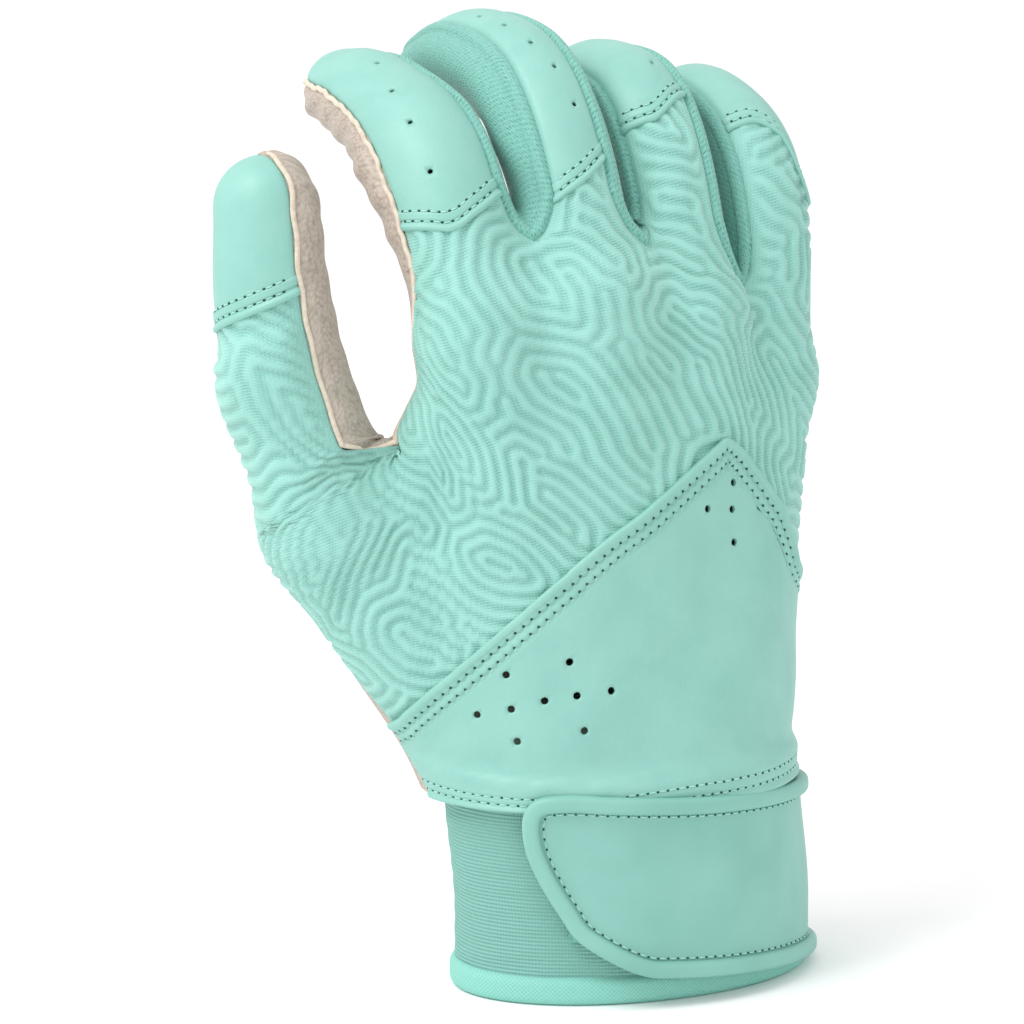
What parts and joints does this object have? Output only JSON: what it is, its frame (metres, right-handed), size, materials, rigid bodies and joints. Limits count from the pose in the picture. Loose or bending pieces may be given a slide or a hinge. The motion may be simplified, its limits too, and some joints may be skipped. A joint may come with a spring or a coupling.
{
  "type": "batting glove",
  "caption": "Right-hand batting glove standing on its cuff in a relaxed grip, with capped fingers, mesh sides, a leather palm, a ribbed cuff and a wrist strap that peels open.",
  "frame": {"origin": "middle of the cuff's opening, level with the flat bottom of the cuff's binding", "axes": "+Z from the cuff to the fingers, -Y out of the back of the hand, -X towards the thumb"},
  "size_m": [0.1323, 0.1038, 0.1961],
  "materials": {
    "stretch_fabric": "matte ribbed stretch knit",
    "smooth_leather": "smooth synthetic leather, satin",
    "side_mesh": "open mesh knit",
    "palm_leather": "fine-grained natural leather",
    "ribbed_elastic": "ribbed elastic knit",
    "binding_tape": "folded tape with a sewn edge",
    "moulded_strap": "moulded synthetic, satin",
    "hook_and_loop": "hook and loop pile"
  },
  "bodies": {
    "hand": {"back_panel": "stretch_fabric", "wrist_panel": "smooth_leather", "slit_trim": "smooth_leather", "palm_leather": "palm_leather", "cuff": "ribbed_elastic", "cuff_binding": "binding_tape", "loop_patch": "hook_and_loop", "strap_anchor": "moulded_strap"},
    "index": {"index_sleeve": "stretch_fabric", "index_hem": "smooth_leather", "index_cap": "smooth_leather", "index_right_mesh": "side_mesh", "index_front_leather": "palm_leather"},
    "middle": {"middle_sleeve": "stretch_fabric", "middle_hem": "smooth_leather", "middle_cap": "smooth_leather", "middle_left_mesh": "side_mesh", "middle_right_mesh": "side_mesh", "middle_front_leather": "palm_leather"},
    "ring": {"ring_sleeve": "stretch_fabric", "ring_hem": "smooth_leather", "ring_cap": "smooth_leather", "ring_left_mesh": "side_mesh", "ring_right_mesh": "side_mesh", "ring_front_leather": "palm_leather"},
    "pinky": {"pinky_sleeve": "stretch_fabric", "pinky_hem": "smooth_leather", "pinky_cap": "smooth_leather", "pinky_left_mesh": "side_mesh", "pinky_front_leather": "palm_leather"},
    "thumb": {"thumb_sleeve": "stretch_fabric", "thumb_hem": "smooth_leather", "thumb_cap": "smooth_leather", "thumb_front_leather": "palm_leather"},
    "strap": {"strap_panel": "moulded_strap", "strap_edge": "moulded_strap", "hook_patch": "hook_and_loop"}
  },
  "joints": [
    {"name": "index_bend", "type": "hinge", "parent": "hand", "child": "index", "pos_m": [-0.033, 0.003, 0.137], "axis": [-1, 0, 0], "range_deg": [-20, 45]},
    {"name": "middle_bend", "type": "hinge", "parent": "hand", "child": "middle", "pos_m": [-0.0088, 0, 0.142], "axis": [-1, 0, 0], "range_deg": [-26, 45]},
    {"name": "ring_bend", "type": "hinge", "parent": "hand", "child": "ring", "pos_m": [0.0148, 0.003, 0.137], "axis": [-1, 0, 0], "range_deg": [-23, 45]},
    {"name": "pinky_bend", "type": "hinge", "parent": "hand", "child": "pinky", "pos_m": [0.0375, 0.007, 0.123], "axis": [-1, 0, 0], "range_deg": [-12, 45]},
    {"name": "thumb_bend", "type": "hinge", "parent": "hand", "child": "thumb", "pos_m": [-0.056, 0.018, 0.097], "axis": [-1, 0, 0], "range_deg": [-15, 30]},
    {"name": "strap_peel", "type": "hinge", "parent": "hand", "child": "strap", "pos_m": [0.0444, 0.00209, 0.01544], "axis": [0, 0, 1], "range_deg": [0, 120]}
  ]
}
